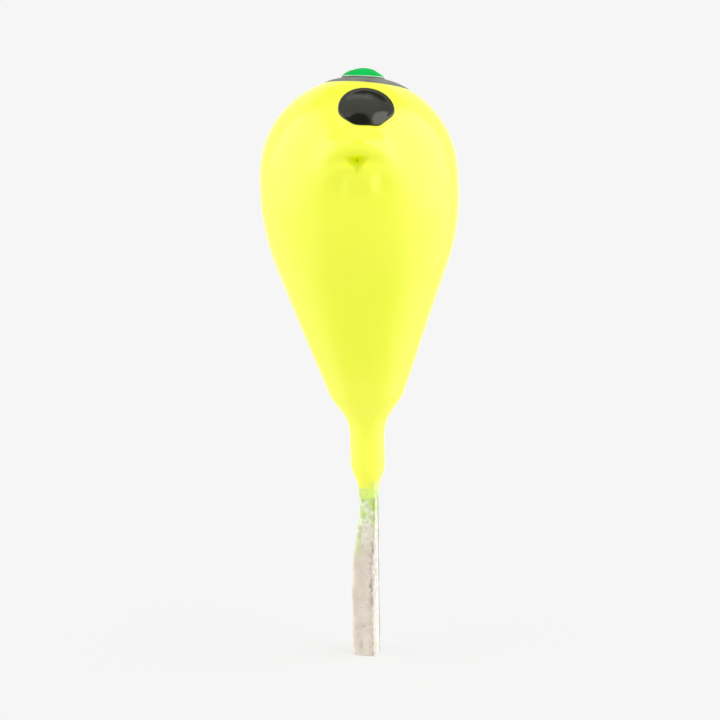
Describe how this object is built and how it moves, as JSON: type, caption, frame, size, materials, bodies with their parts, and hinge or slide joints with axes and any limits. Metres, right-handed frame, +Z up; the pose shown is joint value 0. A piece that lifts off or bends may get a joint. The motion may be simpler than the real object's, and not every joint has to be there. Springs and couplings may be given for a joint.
{
  "type": "bobber float",
  "caption": "Pear-shaped fishing float on a folded metal stem, with a lipped line hole in front and a domed peg on top that pinches the line.",
  "frame": {"origin": "on the upright bore's axis, at the foot of the stem", "axes": "+Z up along the bore and the peg, -Y towards the front, where the lips, the line hole and the black spot are"},
  "size_m": [0.0196, 0.0207, 0.0585],
  "materials": {
    "core_wood": "matte",
    "chartreuse_coat": "gloss",
    "black_enamel": "gloss",
    "collar_rubber": "matte",
    "green_enamel": "gloss",
    "pin_plastic": "satin",
    "sleeve_plastic": "satin",
    "brass": "satin",
    "stem_metal": "satin"
  },
  "bodies": {
    "float": {"float_core": "core_wood", "dip_coat": "chartreuse_coat", "collar_grommet": "collar_rubber", "peg_sleeve": "sleeve_plastic", "line_tube": "brass", "line_bush": "brass", "eye_spot": "black_enamel", "stem_channel": "stem_metal", "ballast_ring": "brass"},
    "peg": {"peg_head": "green_enamel", "peg_pin": "pin_plastic"}
  },
  "joints": [
    {"name": "peg_pull", "type": "slide", "parent": "float", "child": "peg", "axis": [0, 0, 1], "range_m": [0, 0.008]}
  ]
}
